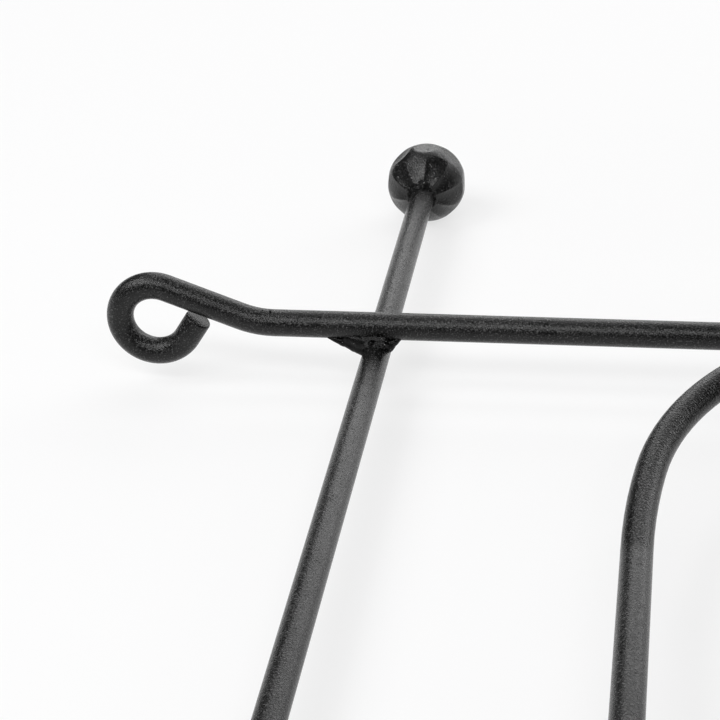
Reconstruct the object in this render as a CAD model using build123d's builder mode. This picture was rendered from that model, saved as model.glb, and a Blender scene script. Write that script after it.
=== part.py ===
from build123d import *
import os
from math import asin, atan2, cos, degrees, hypot, radians, sin

# Mug tree welded from round steel rod. Millimetres, +Z up, the origin on the
# table under the centre post. X runs across the base, Y from front to back.

# ---- driving dimensions ----
rod_d = 5.0                # every base rod, brace and arm
post_d = 9.0               # centre post
post_top = 322.0
ball_d = 16.7              # forged foot balls
finial_d = 22.0            # forged ball on top of the post
foot_flat = 0.35           # depth of the facet that a foot ball stands on

runner_x = 95.0            # runners, left and right of the centre line
ball_y = 141.6             # foot ball centres, front and back
bar_y = 65.0               # cross bars, front and back
spine_half = 72.0          # half length of the spine bar

eye_x = 136.4              # eye centres of the cross bars
eye_r = 6.75               # centre line radius of every eye
eye_lift = 0.2             # eye centre above the rod's own axis
neck_r = 17.0              # bend where the rod starts to climb over its eye
neck_turn = 21.3           # slope of that climb, degrees
tip_slope = 57.0           # slope of the cut end as it comes back up, degrees
tip_len = 4.6              # straight cut end

leg_x = 45.5               # arch legs, left and right
leg_end_y = -6.2           # where a leg starts to lift and to bend
kink_r = 20.0              # upward bend of a leg
shoulder_r = 112.5         # wide bend between a leg and the crown of the arch
shoulder_turn = 9.5

brace_x = 27.0             # feet of the braces on the cross bars
brace_rise = 10.0          # straight foot of a brace
brace_r = 35.0
brace_turn = 60.0
brace_lap = 12.0           # straight end that lies along the post

arm_z = {"lower": 160.0, "upper": 252.0}
arm_first = {"lower": 0.0, "upper": 45.0}
arm_count = 4              # arms in each tier
arm_straight = 30.0        # from the post's axis to the start of the bend
arm_bend_r = 60.0
arm_turn = 30.0

socket = 4.0               # a rod reaches this deep into its ball
bead_r = 1.5               # radius of the round welds
sink = 0.3                 # a round weld's centre lies this far off the joint it covers
crossing_side = 1.6        # the crossing welds lie this far in front of the cross bar's axis
outer_bead = (9.0, 2.2)    # length and radius of a crossing weld outside its runner
inner_bead = (7.0, 1.9)    # the same inside it
outer_off = (3.6, 2.2)     # its middle from the runner's axis: sideways and up
inner_off = (2.8, 2.4)
spine_bead = (8.0, 1.7)
crown_bead = (7.0, 1.6)
lap_bead_r = 1.4
lap_side = 2.3             # half the distance between the two welds of a brace's lap

# ---- worked out from them ----
rod_r = rod_d / 2
post_r = post_d / 2
ball_r = ball_d / 2
finial_r = finial_d / 2
level_1 = ball_r - foot_flat            # axes of the runners
level_2 = level_1 + rod_d               # axes of the cross bars and arch legs
level_3 = level_2 + rod_d               # axis of the spine bar
finial_z = post_top + finial_r - socket
turn = radians(neck_turn)
neck_rise = neck_r * (1 - cos(turn))
climb = (eye_lift + eye_r * cos(turn) - neck_rise) / sin(turn)
eye_reach = eye_r * sin(turn) + climb * cos(turn) + neck_r * sin(turn)
loop_turn = neck_turn + 180 + tip_slope
crown_r = (leg_x - shoulder_r * (1 - cos(radians(shoulder_turn)))) / cos(radians(shoulder_turn))
shoulder_run = (shoulder_r - crown_r) * sin(radians(shoulder_turn))
arch_run = shoulder_run + crown_r       # lifted length, from the kink to the crown
# the slope that lifts the crown from the legs' level onto the spine bar
tilt = asin((2 * rod_d - kink_r) / hypot(arch_run, kink_r)) + atan2(kink_r, arch_run)
tilt_deg = degrees(tilt)
kink_run = kink_r * sin(tilt)

os.makedirs("parts", exist_ok=True)


def save(piece, label):
    piece.part.label = label
    export_step(piece.part, f"parts/{label}.step")


def eye_line(start, heading):
    """Rod line from start: climb over the eye, round it and back under the climb."""
    neck = JernArc(start, heading, neck_r, neck_turn)
    ramp = Line(neck @ 1, neck @ 1 + (neck % 1) * climb)
    loop = JernArc(ramp @ 1, ramp % 1, eye_r, -loop_turn)
    Line(loop @ 1, loop @ 1 + (loop % 1) * tip_len)


# ---- runners and their foot balls ----
def runner(x):
    half = ball_y - ball_r + socket
    with BuildPart() as rod:
        with BuildSketch(Plane.XZ.offset(-half)):
            with Locations((x, level_1)):
                Circle(rod_r)
        extrude(amount=2 * half)
    return rod


def forged_ball(centre, radius, neck_dir, side_dir, stem_r):
    """Ball with hammered facets: a band round its middle, a ring of them near
    each pole and one opposite the neck. The stem sits in a drilled socket."""
    flat = radius * (1 - foot_flat / ball_r)
    frame = Plane(origin=centre, x_dir=side_dir, z_dir=neck_dir)
    facets = [(180.0, 0.0)]
    for lean_deg, first_deg in ((50.0, 22.5), (90.0, 0.0), (130.0, 22.5)):
        facets += [(lean_deg, first_deg + 45.0 * i) for i in range(8)]
    with BuildPart(frame) as ball:
        Sphere(radius)
        for lean_deg, around_deg in facets:
            out = Vector(0, 0, 1).rotate(Axis.Y, lean_deg).rotate(Axis.Z, around_deg)
            normal = frame.x_dir * out.X + frame.y_dir * out.Y + frame.z_dir * out.Z
            split(bisect_by=Plane(frame.origin + normal * flat, z_dir=normal), keep=Keep.BOTTOM)
        with Locations((0, 0, radius)):
            Cylinder(stem_r, 2 * socket, mode=Mode.SUBTRACT)
    return ball


runners = {"left": runner(-runner_x), "right": runner(runner_x)}
for side, rod in runners.items():
    save(rod, f"{side}_runner")

balls = []
for end, sy in (("front", -1), ("rear", 1)):
    for side, sx in (("left", -1), ("right", 1)):
        centre = (sx * runner_x, sy * ball_y, level_1)
        ball = forged_ball(centre, ball_r, (0, -sy, 0), (0, 0, 1), rod_r)
        save(ball, f"foot_ball_{end}_{side}")
        balls.append((ball, sx * runner_x, sy))


# ---- cross bars with an eye at each end ----
def cross_bar(y):
    upright = Plane(origin=(0, y, level_2), x_dir=(1, 0, 0), z_dir=(0, -1, 0))
    with BuildPart() as rod:
        with BuildLine(upright):
            half = Line((0, 0), (eye_x - eye_reach, 0))
            eye_line(half @ 1, half % 1)
        with BuildSketch(Plane(origin=(0, y, level_2), z_dir=(1, 0, 0))):
            Circle(rod_r)
        sweep()
        mirror(about=Plane.YZ)
    return rod


bars = {"front": cross_bar(-bar_y), "rear": cross_bar(bar_y)}
for end, rod in bars.items():
    save(rod, f"{end}_cross_bar")

# ---- spine bar, lying on the cross bars ----
with BuildPart() as spine_bar:
    with BuildSketch(Plane.XZ.offset(-spine_half)):
        with Locations((0, level_3)):
            Circle(rod_r)
    extrude(amount=2 * spine_half)
    fillet(spine_bar.edges().filter_by(GeomType.CIRCLE), radius=rod_r * 0.4)
save(spine_bar, "spine_bar")

# ---- arch: its legs butt on the front cross bar, its crown rests on the spine ----
with BuildPart() as arch:
    leg_plane = Plane(origin=(-leg_x, 0, level_2), x_dir=(0, 1, 0), z_dir=(1, 0, 0))
    with BuildLine(leg_plane):
        leg = Line((-bar_y, 0), (leg_end_y - kink_run, 0))
        kink = JernArc(leg @ 1, leg % 1, kink_r, tilt_deg)
    with BuildLine(Plane(origin=kink @ 1, x_dir=kink % 1, z_dir=(0, -sin(tilt), cos(tilt)))):
        shoulder = JernArc(kink @ 1, kink % 1, shoulder_r, -shoulder_turn)
        crown = JernArc(shoulder @ 1, shoulder % 1, crown_r, shoulder_turn - 90)
    with BuildSketch(Plane(origin=leg @ 0, z_dir=leg % 0)):
        Circle(rod_r)
    sweep()
    mirror(about=Plane.YZ)
    add(bars["front"].part, mode=Mode.SUBTRACT)
crown_top = crown @ 1
save(arch, "arch_stretcher")

# ---- centre post, coped over the spine, and its finial ball ----
with BuildPart() as centre_post:
    with BuildSketch(Plane.XY.offset(level_3)):
        Circle(post_r)
    extrude(amount=post_top - level_3)
    add(spine_bar.part, mode=Mode.SUBTRACT)
save(centre_post, "centre_post")
finial_ball = forged_ball((0, 0, finial_z), finial_r, (0, 0, -1), (1, 0, 0), post_r)
save(finial_ball, "finial_ball")

# ---- braces from the cross bars up to the post ----
foot_span = hypot(brace_x, bar_y)
travel = foot_span - post_r - rod_r
slant = radians(brace_turn)
ramp_len = (travel - 2 * brace_r * (1 - cos(slant))) / sin(slant)
braces = {}
for end, sy in (("front", -1), ("rear", 1)):
    for side, sx in (("left", -1), ("right", 1)):
        foot = Vector(sx * brace_x, sy * bar_y, level_2)
        inward = Vector(-sx * brace_x, -sy * bar_y, 0).normalized()
        upright = Plane(origin=foot, x_dir=inward, z_dir=inward.cross(Vector(0, 0, 1)))
        with BuildPart() as brace:
            with BuildLine(upright):
                shank = Line((0, 0), (0, rod_r + brace_rise))
                lean = JernArc(shank @ 1, shank % 1, brace_r, -brace_turn)
                ramp = Line(lean @ 1, lean @ 1 + (lean % 1) * ramp_len)
                back = JernArc(ramp @ 1, ramp % 1, brace_r, brace_turn)
                lap = Line(back @ 1, back @ 1 + (back % 1) * brace_lap)
            with BuildSketch(Plane.XY.offset(level_2)):
                with Locations((foot.X, foot.Y)):
                    Circle(rod_r)
            sweep()
            add(bars[end].part, mode=Mode.SUBTRACT)
        braces[end, side] = (brace, foot, lap @ 0.5, inward)
        save(brace, f"brace_{end}_{side}")

# ---- arms in two tiers, each ending in an eye ----
arms = {}
for tier, z in arm_z.items():
    for i in range(arm_count):
        around = radians(arm_first[tier] + 360 / arm_count * i)
        outward = Vector(cos(around), sin(around), 0)
        upright = Plane(origin=(0, 0, z), x_dir=outward, z_dir=outward.cross(Vector(0, 0, 1)))
        with BuildPart() as arm:
            with BuildLine(upright):
                stem = Line((0, 0), (arm_straight, 0))
                lift = JernArc(stem @ 1, stem % 1, arm_bend_r, arm_turn)
                eye_line(lift @ 1, lift % 1)
            with BuildSketch(Plane(origin=(0, 0, z), z_dir=outward)):
                Circle(rod_r)
            sweep()
            add(centre_post.part, mode=Mode.SUBTRACT)
        arms[tier, i + 1] = (arm, outward)
        save(arm, f"arm_{tier}_{i + 1}")


# ---- welds: beads of filler metal lying in the corners between the pieces ----
def long_bead(centre, along, length, radius):
    """Straight run of filler metal with round ends."""
    end = length / 2 - radius
    with BuildPart(Plane(origin=centre, z_dir=along)) as run:
        Cylinder(radius, 2 * end)
        with Locations((0, 0, end), (0, 0, -end)):
            Sphere(radius)
    return run


def weld_set(label, beads, cutters):
    with BuildPart() as welds:
        for one in beads:
            add(one.part)
        for piece in cutters:
            add(piece.part, mode=Mode.SUBTRACT)
    save(welds, label)


def ring_bead(centre, axis, stem_r, size=bead_r):
    with BuildPart(Plane(origin=centre, z_dir=axis)) as ring:
        Torus(stem_r, size)
    return ring


crossing_beads = []
for sx in (-1, 1):
    for sy in (-1, 1):
        near_y = sy * bar_y - crossing_side
        outer = (sx * (runner_x + outer_off[0]), near_y, level_1 + outer_off[1])
        inner = (sx * (runner_x - inner_off[0]), near_y, level_1 + inner_off[1])
        crossing_beads.append(long_bead(outer, (1, 0, 0), *outer_bead))
        crossing_beads.append(long_bead(inner, (1, 0, 0), *inner_bead))
weld_set("crossing_welds", crossing_beads, [*runners.values(), *bars.values()])

neck_beads = []
for _, x, sy in balls:
    neck = (x, sy * (ball_y - ball_r + 2 * sink), level_1)
    neck_beads.append(ring_bead(neck, (0, sy, 0), rod_r))
weld_set("foot_ball_welds", neck_beads, [*runners.values(), *(ball for ball, _, _ in balls)])

spine_beads = []
for sx in (-1, 1):
    for sy in (-1, 1):
        corner = (sx * (rod_r + sink), sy * bar_y, level_3 - rod_r)
        spine_beads.append(long_bead(corner, (0, 1, 0), *spine_bead))
weld_set("spine_welds", spine_beads, [spine_bar, *bars.values()])

arch_beads = []
for sx in (-1, 1):
    leg_foot = (sx * leg_x, -bar_y + rod_r + sink, level_2)
    crown_side = (sx * (rod_r - sink), crown_top.Y, level_3 + rod_r)
    arch_beads.append(ring_bead(leg_foot, (0, 1, 0), rod_r))
    arch_beads.append(long_bead(crown_side, (0, 1, 0), *crown_bead))
weld_set("arch_welds", arch_beads, [arch, spine_bar, *bars.values()])

post_bead = ring_bead((0, 0, level_3 + rod_r - sink), (0, 0, 1), post_r)
weld_set("post_weld", [post_bead], [centre_post, spine_bar])

finial_bead = ring_bead((0, 0, post_top - socket + sink), (0, 0, 1), post_r)
weld_set("finial_weld", [finial_bead], [centre_post, finial_ball])

brace_rods = [brace for brace, _, _, _ in braces.values()]
foot_beads = []
lap_beads = []
for _, foot, lap_middle, inward in braces.values():
    foot_beads.append(ring_bead((foot.X, foot.Y, level_2 + rod_r), (0, 0, 1), rod_r))
    seam = lap_middle + inward * (rod_r - sink)
    across = inward.cross(Vector(0, 0, 1))
    for hand in (-1, 1):
        beside = seam + across * (hand * lap_side)
        lap_beads.append(long_bead(beside, (0, 0, 1), brace_lap, lap_bead_r))
weld_set("brace_foot_welds", foot_beads, [*brace_rods, *bars.values()])
weld_set("brace_top_welds", lap_beads, [*brace_rods, centre_post])

for tier, z in arm_z.items():
    tier_arms = [arms[tier, i + 1] for i in range(arm_count)]
    arm_beads = []
    for _, outward in tier_arms:
        root = outward * (post_r + sink) + Vector(0, 0, z)
        arm_beads.append(ring_bead(root, outward, rod_r))
    weld_set(f"arm_welds_{tier}", arm_beads, [*(arm for arm, _ in tier_arms), centre_post])
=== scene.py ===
import bmesh
import bpy
import random
from math import acos, asin, atan2, cos, hypot, pi, radians, sin
from mathutils import Matrix, Vector, noise


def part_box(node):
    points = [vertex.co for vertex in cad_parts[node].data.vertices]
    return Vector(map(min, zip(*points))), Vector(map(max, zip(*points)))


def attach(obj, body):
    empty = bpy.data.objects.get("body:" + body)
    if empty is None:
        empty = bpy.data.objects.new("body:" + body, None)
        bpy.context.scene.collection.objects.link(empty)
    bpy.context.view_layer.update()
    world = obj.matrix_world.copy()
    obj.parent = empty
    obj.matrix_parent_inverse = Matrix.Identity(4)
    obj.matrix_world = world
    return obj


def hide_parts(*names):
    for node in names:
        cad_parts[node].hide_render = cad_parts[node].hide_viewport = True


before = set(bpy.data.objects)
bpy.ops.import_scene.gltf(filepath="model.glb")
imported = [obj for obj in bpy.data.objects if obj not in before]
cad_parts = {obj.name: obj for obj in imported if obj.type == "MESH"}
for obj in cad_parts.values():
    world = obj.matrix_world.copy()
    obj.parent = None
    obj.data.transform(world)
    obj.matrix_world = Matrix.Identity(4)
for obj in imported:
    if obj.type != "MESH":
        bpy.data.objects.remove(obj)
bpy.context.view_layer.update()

MM = 0.001
UP = Vector((0, 0, 1))


def middle(node):
    low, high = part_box(node)
    return (low + high) / 2


def extent(node):
    low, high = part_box(node)
    return high - low


def corners():
    """The four corners of the base, with their signs along X and Y."""
    for end, sy in (("front", -1), ("rear", 1)):
        for side, sx in (("left", -1), ("right", 1)):
            yield end, side, sx, sy


def spokes(first_deg):
    """Directions of the four arms of a tier."""
    for i in range(4):
        around = radians(first_deg + 90 * i)
        yield Vector((cos(around), sin(around), 0))


# ---- sizes read from the frame, and the bends of the rod, in metres ----
rod_r = extent("left_runner").x / 2
post_r = extent("centre_post").x / 2
runner_x = middle("right_runner").x
runner_half = extent("right_runner").y / 2
level_1 = middle("left_runner").z
bar_y = middle("rear_cross_bar").y
level_2 = level_1 + 2 * rod_r
level_3 = level_2 + 2 * rod_r
spine_half = extent("spine_bar").y / 2
post_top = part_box("centre_post")[1].z

EYE_R = 6.75 * MM               # centre line of an eye
EYE_LIFT = 0.2 * MM             # eye centre above the rod's axis
NECK_R = 17 * MM                # bend where the rod starts to climb over its eye
NECK_TURN = radians(21.3)
TIP_SLOPE = radians(57)         # slope of the cut end as it comes back up
TIP_LEN = 4.6 * MM
CLIMB = (EYE_LIFT + EYE_R * cos(NECK_TURN) - NECK_R * (1 - cos(NECK_TURN))) / sin(NECK_TURN)
EYE_REACH = (EYE_R + NECK_R) * sin(NECK_TURN) + CLIMB * cos(NECK_TURN)
eye_x = extent("rear_cross_bar").x / 2 - EYE_R - rod_r

leg_x = extent("arch_stretcher").x / 2 - rod_r
KINK_Y = -6.2 * MM              # where a leg of the arch starts to lift and to bend
KINK_R = 20 * MM
SHOULDER_R = 112.5 * MM
SHOULDER_TURN = radians(9.5)
crown_r = (leg_x - SHOULDER_R * (1 - cos(SHOULDER_TURN))) / cos(SHOULDER_TURN)
arch_run = (SHOULDER_R - crown_r) * sin(SHOULDER_TURN) + crown_r
tilt = asin((4 * rod_r - KINK_R) / hypot(arch_run, KINK_R)) + atan2(KINK_R, arch_run)

BRACE_R = 35 * MM
BRACE_TURN = radians(60)
BRACE_RISE = 10 * MM
BRACE_LAP = 12 * MM
ARM_STRAIGHT = 30 * MM
ARM_BEND_R = 60 * MM
ARM_TURN = radians(30)
END_CHAMFER = 0.35 * MM
TIERS = (("lower", 0.0), ("upper", 45.0))       # and the direction of a tier's first arm


# ---- shader maths ----
class Value:
    """One output socket. Python operators on it add Math nodes to the same tree."""

    def __init__(self, tree, socket):
        self.tree = tree
        self.socket = socket

    def node(self, kind, settings=(), **inputs):
        made = self.tree.nodes.new(kind)
        for name, value in dict(settings).items():
            setattr(made, name, value)
        for name, value in inputs.items():
            by_number = name[0] == "i" and name[1:].isdigit()
            self.plug(made.inputs[int(name[1:]) if by_number else name], value)
        return made

    def plug(self, target, value):
        if isinstance(value, Value):
            self.tree.links.new(value.socket, target)
        else:
            target.default_value = value

    def maths(self, operation, first, second=0.0):
        made = self.node("ShaderNodeMath", {"operation": operation}, i0=first, i1=second)
        return Value(self.tree, made.outputs[0])

    def __add__(self, other):
        return self.maths("ADD", self, other)

    def __radd__(self, other):
        return self.maths("ADD", other, self)

    def __sub__(self, other):
        return self.maths("SUBTRACT", self, other)

    def __mul__(self, other):
        return self.maths("MULTIPLY", self, other)

    def clamped(self):
        made = self.node("ShaderNodeClamp", i0=self, i1=0.0, i2=1.0)
        return Value(self.tree, made.outputs[0])

    def band(self, low, high):
        """0 below low, 1 above high, smooth between."""
        made = self.node("ShaderNodeMapRange", {"interpolation_type": "SMOOTHSTEP"},
                         i0=self, i1=low, i2=high, i3=0.0, i4=1.0)
        return Value(self.tree, made.outputs[0])


def start_material(name):
    material = bpy.data.materials.new(name)
    material.use_nodes = True
    tree = material.node_tree
    shader = tree.nodes["Principled BSDF"]
    place = tree.nodes.new("ShaderNodeTexCoord")
    return material, shader, Value(tree, place.outputs["Object"])


def mottle(place, size, detail=2.0, rough=0.5):
    """Noise whose blotches are about size metres across."""
    made = place.node("ShaderNodeTexNoise", Vector=place, Scale=1 / size, Detail=detail,
                      Roughness=rough)
    return Value(place.tree, made.outputs["Fac"])


def grey(level):
    return (level, level, level, 1)


def mixed(place, amount, under, over):
    """Blend two colours and return the blend."""
    made = place.node("ShaderNodeMix", {"data_type": "RGBA"}, i0=amount, i6=under, i7=over)
    return Value(place.tree, made.outputs[2])


GRAIN = 0.34 * MM               # sizes of the coat's grain, dust, clouds, pinholes and flecks
DUST = GRAIN * 0.4
CLOUD = 6.0 * MM
PINHOLE = 0.9 * MM
FLECK = 0.5 * MM
FLECK_TONE = 0.22


def powder_coat(name, dark, light, roughness, grain_depth, ripple_depth, ripple_size, shine,
                flecks):
    """Black powder coat: grain like fine sandpaper over the ripple of the metal below,
    with paler grains painted into its colour as painted glints of the grain, a few pale flecks
    and a few darker pinholes."""
    material, shader, place = start_material(name)
    grain = mottle(place, GRAIN, 2.0, 0.6)
    dust = mottle(place, DUST, 1.0)
    cloud = mottle(place, CLOUD, 2.0)
    ripple = mottle(place, ripple_size, 2.0)
    pits = mottle(place, PINHOLE, 1.0).band(0.30, 0.24)
    # paler grains painted into the base colour: painted glints of the coat's grain, over a
    # faint cloudy tone
    tone = (grain.band(0.54, 0.68) * 0.9 + cloud.band(0.3, 0.7) * 0.1).clamped()
    grain_tone_and_painted_glints = mixed(place, tone, grey(dark), grey(light))
    fleck = mottle(place, FLECK, 0.0).band(0.76, 0.80) * flecks
    place.plug(shader.inputs["Base Color"], mixed(place, fleck, grain_tone_and_painted_glints, grey(FLECK_TONE)))
    place.plug(shader.inputs["Roughness"], roughness + (grain - 0.5) * 0.3 + pits * 0.15)
    coat = place.node("ShaderNodeBump", Height=grain * 0.8 + dust * 0.2 - pits * 0.5,
                      Strength=1.0, Distance=grain_depth)
    metal = place.node("ShaderNodeBump", Height=ripple, Strength=1.0, Distance=ripple_depth)
    place.tree.links.new(metal.outputs["Normal"], coat.inputs["Normal"])
    place.tree.links.new(coat.outputs["Normal"], shader.inputs["Normal"])
    shader.inputs["Specular IOR Level"].default_value = shine
    return material


rod_coat = powder_coat("rod_powder_coat", dark=0.001, light=0.052, roughness=0.22,
                       grain_depth=0.14 * MM, ripple_depth=0.02 * MM, ripple_size=2.4 * MM,
                       shine=0.3, flecks=0.15)
forged_coat = powder_coat("forged_powder_coat", dark=0.001, light=0.022, roughness=0.17,
                          grain_depth=0.12 * MM, ripple_depth=0.06 * MM, ripple_size=1.9 * MM,
                          shine=0.32, flecks=0.3)
# the welds' coat is painted much darker than the rods': painted shade standing in for the dark
# hollows round the joints
weld_coat_with_painted_shade = powder_coat("weld_powder_coat_painted_shade", dark=0.0005, light=0.010, roughness=0.22,
                        grain_depth=0.15 * MM, ripple_depth=0.08 * MM, ripple_size=1.0 * MM,
                        shine=0.14, flecks=1.0)


# ---- making a piece ----
SHARP = radians(38)             # edges bent more than this stay sharp
SAME_PLACE = 1e-7


def keep(bm, name, node, material):
    """Turn a bmesh into a piece that stands for a node of the frame."""
    bmesh.ops.remove_doubles(bm, verts=bm.verts, dist=SAME_PLACE)
    bmesh.ops.recalc_face_normals(bm, faces=bm.faces)
    for face in bm.faces:
        face.smooth = True
    for edge in bm.edges:
        edge.smooth = len(edge.link_faces) == 2 and edge.calc_face_angle(0) < SHARP
    mesh = bpy.data.meshes.new(name)
    bm.to_mesh(mesh)
    bm.free()
    mesh.materials.append(material)
    piece = bpy.data.objects.new(name, mesh)
    bpy.context.collection.objects.link(piece)
    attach(piece, "root")
    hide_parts(node)
    return piece


class Rod:
    """A round rod drawn out ring by ring: a run extrudes its end, a bend spins it."""

    def __init__(self, start, heading, radius=rod_r, sides=56):
        self.bm = bmesh.new()
        self.at = Vector(start)
        self.heading = Vector(heading).normalized()
        turn = self.heading.to_track_quat("Z", "Y").to_matrix().to_4x4()
        bmesh.ops.create_circle(self.bm, segments=sides, radius=radius,
                                matrix=Matrix.Translation(self.at) @ turn)
        self.ring = list(self.bm.edges)
        self.first = list(self.ring)

    def run(self, length):
        made = bmesh.ops.extrude_edge_only(self.bm, edges=self.ring)["geom"]
        corners = [one for one in made if isinstance(one, bmesh.types.BMVert)]
        self.ring = [one for one in made
                     if isinstance(one, bmesh.types.BMEdge) and one.is_boundary]
        bmesh.ops.translate(self.bm, verts=corners, vec=self.heading * length)
        self.at = self.at + self.heading * length

    def bend(self, radius, angle, normal, step=radians(4)):
        """Turn by angle about normal, which is square to the rod."""
        side = normal.cross(self.heading).normalized() * (1 if angle > 0 else -1)
        centre = self.at + side * radius
        geometry = list({corner for edge in self.ring for corner in edge.verts}) + self.ring
        made = bmesh.ops.spin(self.bm, geom=geometry, cent=centre, axis=normal, angle=angle,
                              steps=max(2, round(abs(angle) / step)), use_merge=False,
                              use_duplicate=False)["geom_last"]
        self.ring = [one for one in made if isinstance(one, bmesh.types.BMEdge)]
        turn = Matrix.Rotation(angle, 4, normal)
        self.at = centre + turn @ (self.at - centre)
        self.heading = (turn @ self.heading).normalized()

    def eye(self, normal):
        """Climb over the eye, go round it and come back up under the climb."""
        self.bend(NECK_R, NECK_TURN, normal)
        self.run(CLIMB)
        self.bend(EYE_R, -(NECK_TURN + pi + TIP_SLOPE), normal)
        self.run(TIP_LEN)

    def cut(self, ring, chamfer=END_CHAMFER):
        """Close an end with a flat cut whose rim is slightly rounded."""
        bmesh.ops.contextual_create(self.bm, geom=ring)
        bmesh.ops.bevel(self.bm, geom=ring, offset=chamfer, affect="EDGES", segments=3,
                        profile=0.5, material=-1)


def straight_rod(node, start, end, radius=rod_r):
    rod = Rod(start, Vector(end) - Vector(start), radius)
    rod.run((Vector(end) - Vector(start)).length)
    for ring in (rod.first, rod.ring):
        rod.cut(ring)
    keep(rod.bm, f"{node}_rod", node, rod_coat)


def mirrored(rod, node):
    """Mirror a half rod whose open end lies on the middle plane, and join the halves."""
    bmesh.ops.mirror(rod.bm, geom=list(rod.bm.verts) + list(rod.bm.edges) + list(rod.bm.faces),
                     axis="X", merge_dist=1e-5)
    keep(rod.bm, f"{node}_rod", node, rod_coat)


# ---- the base ----
for side, sign in (("left", -1), ("right", 1)):
    straight_rod(f"{side}_runner", (sign * runner_x, -runner_half, level_1),
                 (sign * runner_x, runner_half, level_1))
straight_rod("spine_bar", (0, -spine_half, level_3), (0, spine_half, level_3))

for end, sign in (("front", -1), ("rear", 1)):
    bar = Rod((0, sign * bar_y, level_2), (1, 0, 0))
    bar.run(eye_x - EYE_REACH)
    bar.eye(Vector((0, -1, 0)))
    bar.cut(bar.ring)
    mirrored(bar, f"{end}_cross_bar")

arch = Rod((leg_x, -bar_y, level_2), (0, 1, 0))
arch.run(bar_y + KINK_Y - KINK_R * sin(tilt))
arch.bend(KINK_R, tilt, Vector((1, 0, 0)), radians(1.5))
bend_normal = Vector((0, -sin(tilt), cos(tilt)))
arch.bend(SHOULDER_R, SHOULDER_TURN, bend_normal, radians(2))
arch.bend(crown_r, pi / 2 - SHOULDER_TURN, bend_normal, radians(3))
bmesh.ops.contextual_create(arch.bm, geom=arch.first)
mirrored(arch, "arch_stretcher")

# ---- the tree ----
straight_rod("centre_post", (0, 0, level_3), (0, 0, post_top), post_r)

brace_places = []
for end, side, sx, sy in corners():
    node = f"brace_{end}_{side}"
    low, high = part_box(node)
    foot = Vector((low.x + rod_r if sx < 0 else high.x - rod_r, sy * bar_y, level_2))
    brace_places.append((foot, high.z))
    inward = Vector((-foot.x, -foot.y, 0)).normalized()
    travel = hypot(foot.x, foot.y) - post_r - rod_r
    normal = UP.cross(inward)
    brace = Rod(foot, UP)
    brace.run(rod_r + BRACE_RISE)
    brace.bend(BRACE_R, BRACE_TURN, normal)
    brace.run((travel - 2 * BRACE_R * (1 - cos(BRACE_TURN))) / sin(BRACE_TURN))
    brace.bend(BRACE_R, -BRACE_TURN, normal)
    brace.run(BRACE_LAP)
    brace.cut(brace.first)
    brace.cut(brace.ring)
    keep(brace.bm, f"{node}_rod", node, rod_coat)

arm_heights = {}
for tier, first_deg in TIERS:
    for i, outward in enumerate(spokes(first_deg)):
        node = f"arm_{tier}_{i + 1}"
        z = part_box(node)[0].z + rod_r
        arm_heights[tier] = z
        normal = outward.cross(UP)
        arm = Rod(outward * (post_r * 0.5) + UP * z, outward)
        arm.run(ARM_STRAIGHT - post_r * 0.5)
        arm.bend(ARM_BEND_R, ARM_TURN, normal)
        arm.eye(normal)
        arm.cut(arm.first)
        arm.cut(arm.ring)
        keep(arm.bm, f"{node}_rod", node, rod_coat)


# ---- forged balls ----
BALL_R = 8.35 * MM
FINIAL_R = 11.0 * MM
FACET_DROP = 0.35 / 8.35        # how far a true facet's plane lies under a sphere of radius 1
BLOW_DROP = 0.036               # the same for a hammered facet
DISH = 0.022                    # how much deeper its middle is hammered
DISH_REACH = 1.3                # width of the dish against the facet's own
FACETS_ROUND = 8                # facets in each ring
SCOOPS = 10                     # hollows that run out from the neck like the gores of a melon
SCOOP_DEPTH = 0.062
SCOOP_MIDDLE = radians(44)      # angle from the neck to a scoop's middle
SCOOP_HALF = radians(28)
SCOOP_OVERLAP = 0.58            # half width of a scoop against its share of the round


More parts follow.
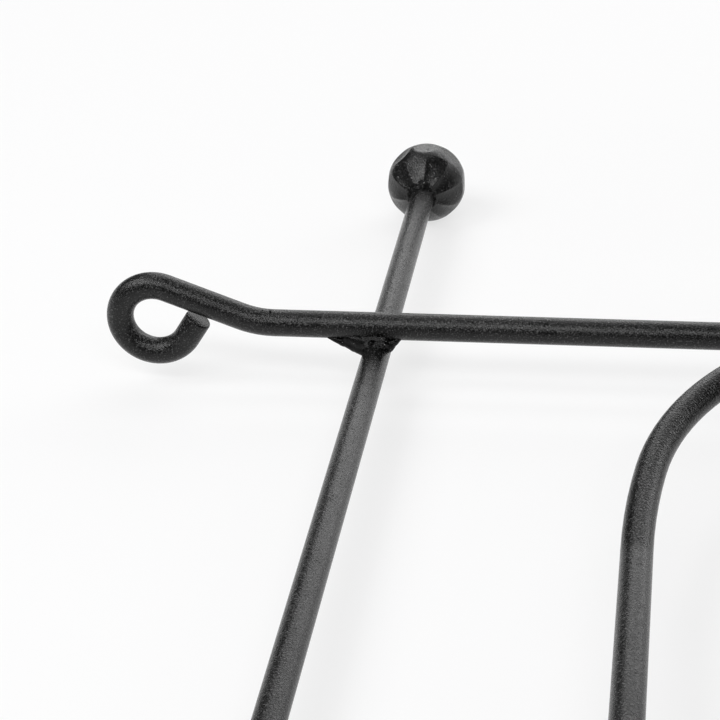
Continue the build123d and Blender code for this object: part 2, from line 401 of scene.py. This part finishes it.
def forged_ball(node, neck, side, radius, seed):
    """Ball with scoops round its neck, a band of hammer blows round its middle and a
    ring of them beyond. The facets under it, above it and opposite the neck stay true."""
    draw = random.Random(seed)
    pole = radius * (1 - FACET_DROP)
    low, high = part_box(node)
    if neck.z:
        centre = Vector((0, 0, high.z - pole))
    else:
        far_y = low.y if neck.y > 0 else high.y
        centre = Vector((runner_x if "right" in node else -runner_x, far_y + neck.y * pole,
                         level_1))
    across = neck.cross(side)
    blows = [(-neck, 1 - FACET_DROP, 0.0)]
    for lean_deg, first in ((90, 0), (130, 22.5)):
        for i in range(FACETS_ROUND):
            true = lean_deg == 90 and i in (0, FACETS_ROUND // 2)
            slip = 0 if true else 5.0
            a = radians(lean_deg + draw.uniform(-slip, slip))
            b = radians(first + 360 / FACETS_ROUND * i + draw.uniform(-slip, slip))
            out = (side * cos(b) + across * sin(b)) * sin(a) + neck * cos(a)
            drop = FACET_DROP if true else BLOW_DROP + draw.uniform(-0.006, 0.012)
            dish = 0 if true else DISH * draw.uniform(0.6, 1.6)
            blows.append((out, 1 - drop, dish))
    scoops = []
    for i in range(SCOOPS):
        around = 2 * pi * (i + 0.35 + draw.uniform(-0.12, 0.12)) / SCOOPS
        scoops.append((around, SCOOP_DEPTH * draw.uniform(0.7, 1.35),
                       SCOOP_HALF * draw.uniform(0.9, 1.12)))
    bm = bmesh.new()
    bmesh.ops.create_icosphere(bm, subdivisions=7, radius=1.0)
    reach = acos(1 - BLOW_DROP)
    for corner in bm.verts:
        out = corner.co.normalized()
        depth = 1.0
        for blow, plane, dish in blows:
            level = out.dot(blow)
            if level > 0.8:
                spread = min(1.0, acos(min(1.0, level)) / (reach * DISH_REACH))
                depth = min(depth, (plane - dish * (1 - spread ** 2)) / level)
        from_neck = acos(max(-1.0, min(1.0, out.dot(neck))))
        around = atan2(out.dot(across), out.dot(side))
        for middle_at, deep, half in scoops:
            off = (around - middle_at + pi) % (2 * pi) - pi
            u = off / (SCOOP_OVERLAP * 2 * pi / SCOOPS)
            v = (from_neck - SCOOP_MIDDLE) / half
            if abs(u) < 1 and abs(v) < 1:
                depth = min(depth, 1 - deep * (1 - u * u) * (1 - v * v))
        corner.co = centre + out * depth * radius
    keep(bm, f"{node}_forging", node, forged_coat)


for end, side, sx, sy in corners():
    forged_ball(f"foot_ball_{end}_{side}", Vector((0, -sy, 0)), UP, BALL_R, 11 + 2 * sx + sy)
forged_ball("finial_ball", Vector((0, 0, -1)), Vector((1, 0, 0)), FINIAL_R, 5)


# ---- welds ----
MELT_SIZE = 0.2 * MM            # finest detail kept when the lumps are melted together
FLOW_STEPS = 14
WAVE = 0.9 * MM                 # size and height of the waves on a weld's skin
WAVELET = 0.4 * MM
WAVE_HEIGHT = 0.05 * MM


def weld(node, lumps):
    """Melt round lumps of filler metal into one skin and roughen it."""
    bm = bmesh.new()
    for place, radius in lumps:
        bmesh.ops.create_icosphere(bm, subdivisions=3, radius=radius,
                                   matrix=Matrix.Translation(place))
    mesh = bpy.data.meshes.new("lumps")
    bm.to_mesh(mesh)
    bm.free()
    rough = bpy.data.objects.new("lumps", mesh)
    bpy.context.collection.objects.link(rough)
    melt = rough.modifiers.new("melt", "REMESH")
    melt.mode = "VOXEL"
    melt.voxel_size = MELT_SIZE
    flow = rough.modifiers.new("flow", "SMOOTH")
    flow.factor = 0.5
    flow.iterations = FLOW_STEPS
    graph = bpy.context.evaluated_depsgraph_get()
    melted = bpy.data.meshes.new_from_object(rough.evaluated_get(graph))
    bm = bmesh.new()
    bm.from_mesh(melted)
    bm.normal_update()
    for corner in bm.verts:
        wave = noise.noise(corner.co / WAVE) + 0.5 * noise.noise(corner.co / WAVELET)
        corner.co += corner.normal * (wave * WAVE_HEIGHT)
    bpy.data.objects.remove(rough)
    bpy.data.meshes.remove(mesh)
    bpy.data.meshes.remove(melted)
    keep(bm, f"{node}_metal", node, weld_coat_with_painted_shade)


def line_of_lumps(start, end, first_r, last_r, count, draw, jitter=0.25):
    made = []
    for i in range(count):
        t = i / (count - 1)
        radius = first_r + (last_r - first_r) * t
        slip = Vector([draw.uniform(-1, 1) for _ in range(3)]) * radius * jitter
        made.append((Vector(start).lerp(Vector(end), t) + slip,
                     radius * draw.uniform(0.88, 1.12)))
    return made


def ring_of_lumps(centre, axis, ring_r, lump_r, count, draw):
    axis = Vector(axis).normalized()
    first = axis.orthogonal().normalized()
    second = axis.cross(first)
    made = []
    for i in range(count):
        a = 2 * pi * (i + draw.uniform(-0.2, 0.2)) / count
        out = first * cos(a) + second * sin(a)
        made.append((Vector(centre) + out * ring_r + axis * draw.uniform(-0.15, 0.15) * lump_r,
                     lump_r * draw.uniform(0.8, 1.15)))
    return made


def spatter(centre, reach, count, draw, smallest=0.3 * MM, largest=0.55 * MM):
    """Small drops of filler metal thrown round a weld, on top of the rods below them."""
    made = []
    for _ in range(count):
        slip = Vector((draw.uniform(-1, 1), draw.uniform(-1, 1), draw.uniform(-0.4, 0.4)))
        made.append((Vector(centre) + slip * reach, draw.uniform(smallest, largest)))
    return made


def mm(x, y, z):
    return Vector((x * MM, y * MM, z * MM))


# Runs of a crossing weld, in mm from the runner's axis under the bar. Each starts and
# ends at (out, up), grows from one radius to another and takes so many lumps.
CROSSING_RUNS = (
    ((8.9, 3.2), (2.2, 0.9), (0.4, 1.4), 16),       # long ramp outside the runner
    ((5.0, 3.2), (2.0, 2.4), (1.0, 1.6), 8),        # its root
    ((-4.4, 3.3), (-2.2, 1.6), (0.5, 1.1), 8),      # short ramp inside
)
CROSSING_Y = -1.5
# The fillet on top of the runner, as rows across it: forward, up and radius in mm.
FILLET_ROWS = ((-1.7, 3.2, 1.0), (-2.6, 2.6, 0.7), (-3.4, 2.2, 0.5))
FILLET_HALF = 1.6
NECK_BACK = 3.6 * MM            # from a runner's end, in its socket, to the ball's skin
PLUG = 4.0 * MM                 # depth of the post in its finial

luck = random.Random(7)
lumps = []
for _, _, sx, sy in corners():
    at = Vector((sx * runner_x, sy * bar_y, level_1))
    for (out_1, up_1), (out_2, up_2), (r_1, r_2), count in CROSSING_RUNS:
        lumps += line_of_lumps(at + mm(sx * out_1, CROSSING_Y, up_1),
                               at + mm(sx * out_2, CROSSING_Y, up_2),
                               r_1 * MM, r_2 * MM, count, luck, 0.05)
    for forward, up, radius in FILLET_ROWS:
        level = at + mm(0, forward, up)
        lumps += line_of_lumps(level - mm(FILLET_HALF, 0, 0), level + mm(FILLET_HALF, 0, 0),
                               radius * MM, radius * MM, 6, luck, 0.08)
    lumps += spatter(at + mm(0, -3.2, 2.6), 1.6 * MM, 4, luck)
    bend = Vector((sx * (eye_x - EYE_REACH + 1.6 * MM), sy * bar_y,
                   level_2 + rod_r - 0.2 * MM))
    lumps += spatter(bend, 1.2 * MM, 6, luck)
weld("crossing_welds", lumps)

lumps = []
for _, _, sx, sy in corners():
    at = Vector((sx * runner_x, sy * (runner_half - NECK_BACK), level_1))
    lumps += ring_of_lumps(at, (0, 1, 0), rod_r, 0.85 * MM, 14, luck)
    crest = at + Vector((0, sy * 0.3 * MM, rod_r + 0.2 * MM))
    lumps += spatter(crest, 1.6 * MM, 4, luck, 0.8 * MM, 1.1 * MM)
weld("foot_ball_welds", lumps)

lumps = []
for _, _, sx, sy in corners():
    at = Vector((sx * (rod_r + 0.2 * MM), sy * bar_y, level_3 - rod_r))
    lumps += line_of_lumps(at - mm(0, 3.0, 0), at + mm(0, 3.0, 0),
                           1.3 * MM, 1.4 * MM, 6, luck)
weld("spine_welds", lumps)

crown_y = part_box("arch_stretcher")[1].y - rod_r
lumps = []
for sx in (-1, 1):
    lumps += ring_of_lumps((sx * leg_x, -bar_y + rod_r + 0.2 * MM, level_2), (0, 1, 0),
                           rod_r, 1.15 * MM, 12, luck)
    at = Vector((sx * (rod_r - 0.3 * MM), crown_y, level_3 + rod_r))
    lumps += line_of_lumps(at - mm(0, 2.2, 0), at + mm(0, 2.2, 0),
                           1.2 * MM, 1.3 * MM, 5, luck)
weld("arch_welds", lumps)

for node, z in (("post_weld", level_3 + rod_r - 0.5 * MM), ("finial_weld", post_top - PLUG)):
    weld(node, ring_of_lumps((0, 0, z), UP, post_r, 1.2 * MM, 18, luck))

lumps = []
for foot, _ in brace_places:
    lumps += ring_of_lumps((foot.x, foot.y, level_2 + rod_r - 0.2 * MM), UP, rod_r,
                           1.15 * MM, 12, luck)
weld("brace_foot_welds", lumps)

lumps = []
for foot, top_z in brace_places:
    out = Vector((foot.x, foot.y, 0)).normalized()
    at = out * (post_r + 0.3 * MM) + UP * (top_z - BRACE_LAP / 2)
    for hand in (-1, 1):
        seam = at + out.cross(UP) * (hand * 2.1 * MM)
        lumps += line_of_lumps(seam - UP * 4.5 * MM, seam + UP * 4.5 * MM,
                               1.05 * MM, 1.15 * MM, 8, luck)
weld("brace_top_welds", lumps)

for tier, first_deg in TIERS:
    lumps = []
    for outward in spokes(first_deg):
        root = outward * (post_r + 0.2 * MM) + UP * arm_heights[tier]
        lumps += ring_of_lumps(root, outward, rod_r, 1.1 * MM, 12, luck)
    weld(f"arm_welds_{tier}", lumps)


# ---- floor, light and camera ----
BOARD_HALF = 3.0
BOARD_GLOW = 0.69               # the white board is lit a little from below
STUDIO_GLOW = 0.12


def floor():
    bm = bmesh.new()
    bmesh.ops.create_grid(bm, x_segments=1, y_segments=1, size=BOARD_HALF)
    mesh = bpy.data.meshes.new("floor")
    bm.to_mesh(mesh)
    bm.free()
    plane = bpy.data.objects.new("floor", mesh)
    bpy.context.collection.objects.link(plane)
    material = bpy.data.materials.new("white_board")
    material.use_nodes = True
    shader = material.node_tree.nodes["Principled BSDF"]
    shader.inputs["Base Color"].default_value = (0.2, 0.2, 0.201, 1)
    shader.inputs["Roughness"].default_value = 0.9
    shader.inputs["Specular IOR Level"].default_value = 0.1
    shader.inputs["Emission Color"].default_value = (1, 1, 1, 1)
    shader.inputs["Emission Strength"].default_value = BOARD_GLOW
    mesh.materials.append(material)


def soft_box(name, place, target, width, height, power):
    data = bpy.data.lights.new(name, "AREA")
    data.shape = "RECTANGLE"
    data.size = width
    data.size_y = height
    data.energy = power
    lamp = bpy.data.objects.new(name, data)
    lamp.location = place
    lamp.rotation_euler = (Vector(target) - Vector(place)).to_track_quat("-Z", "Y").to_euler()
    bpy.context.collection.objects.link(lamp)


def panel(name, azimuth, elevation, width, height, glow):
    """Soft box on a dome round the visible corner of the base; glow is its radiance.
    Azimuth 0 is behind the object, positive to the right."""
    a = radians(azimuth)
    e = radians(elevation)
    place = SUBJECT + Vector((sin(a) * cos(e), cos(a) * cos(e), sin(e))) * DOME_R
    soft_box(name, place, SUBJECT, width, height, glow * pi * width * height)


SUBJECT = Vector((-0.07, 0.03, 0.01))
DOME_R = 1.0
floor()
panel("back_panel", 14, 26, 1.15, 0.55, 2.9)
panel("top_panel", 0, 64, 1.2, 0.35, 1.8)
panel("band_panel", 190, 52, 1.4, 0.2, 9.5)
panel("left_panel", -103, 48, 0.35, 0.55, 8.0)
panel("right_panel", 52, 15, 0.7, 0.4, 2.8)

world = bpy.data.worlds.new("studio")
world.use_nodes = True
world.node_tree.nodes["Background"].inputs["Color"].default_value = (1, 1, 1, 1)
world.node_tree.nodes["Background"].inputs["Strength"].default_value = STUDIO_GLOW
bpy.context.scene.world = world
bpy.context.scene.view_settings.view_transform = "Standard"

CAMERA_PLACE = Vector((-0.0401, -0.2803, 0.1937))
CAMERA_AZIMUTH = radians(9.58)
CAMERA_DIP = radians(28.22)
CAMERA_ROLL = radians(-2.68)
LENS = 107.66
lens = bpy.data.cameras.new("camera")
lens.lens = LENS
lens.sensor_width = 36
lens.clip_start = 0.01
camera = bpy.data.objects.new("camera", lens)
camera.matrix_world = (Matrix.Translation(CAMERA_PLACE)
                       @ Matrix.Rotation(CAMERA_AZIMUTH, 4, "Z")
                       @ Matrix.Rotation(pi / 2 - CAMERA_DIP, 4, "X")
                       @ Matrix.Rotation(CAMERA_ROLL, 4, "Z"))
bpy.context.collection.objects.link(camera)
bpy.context.scene.camera = camera
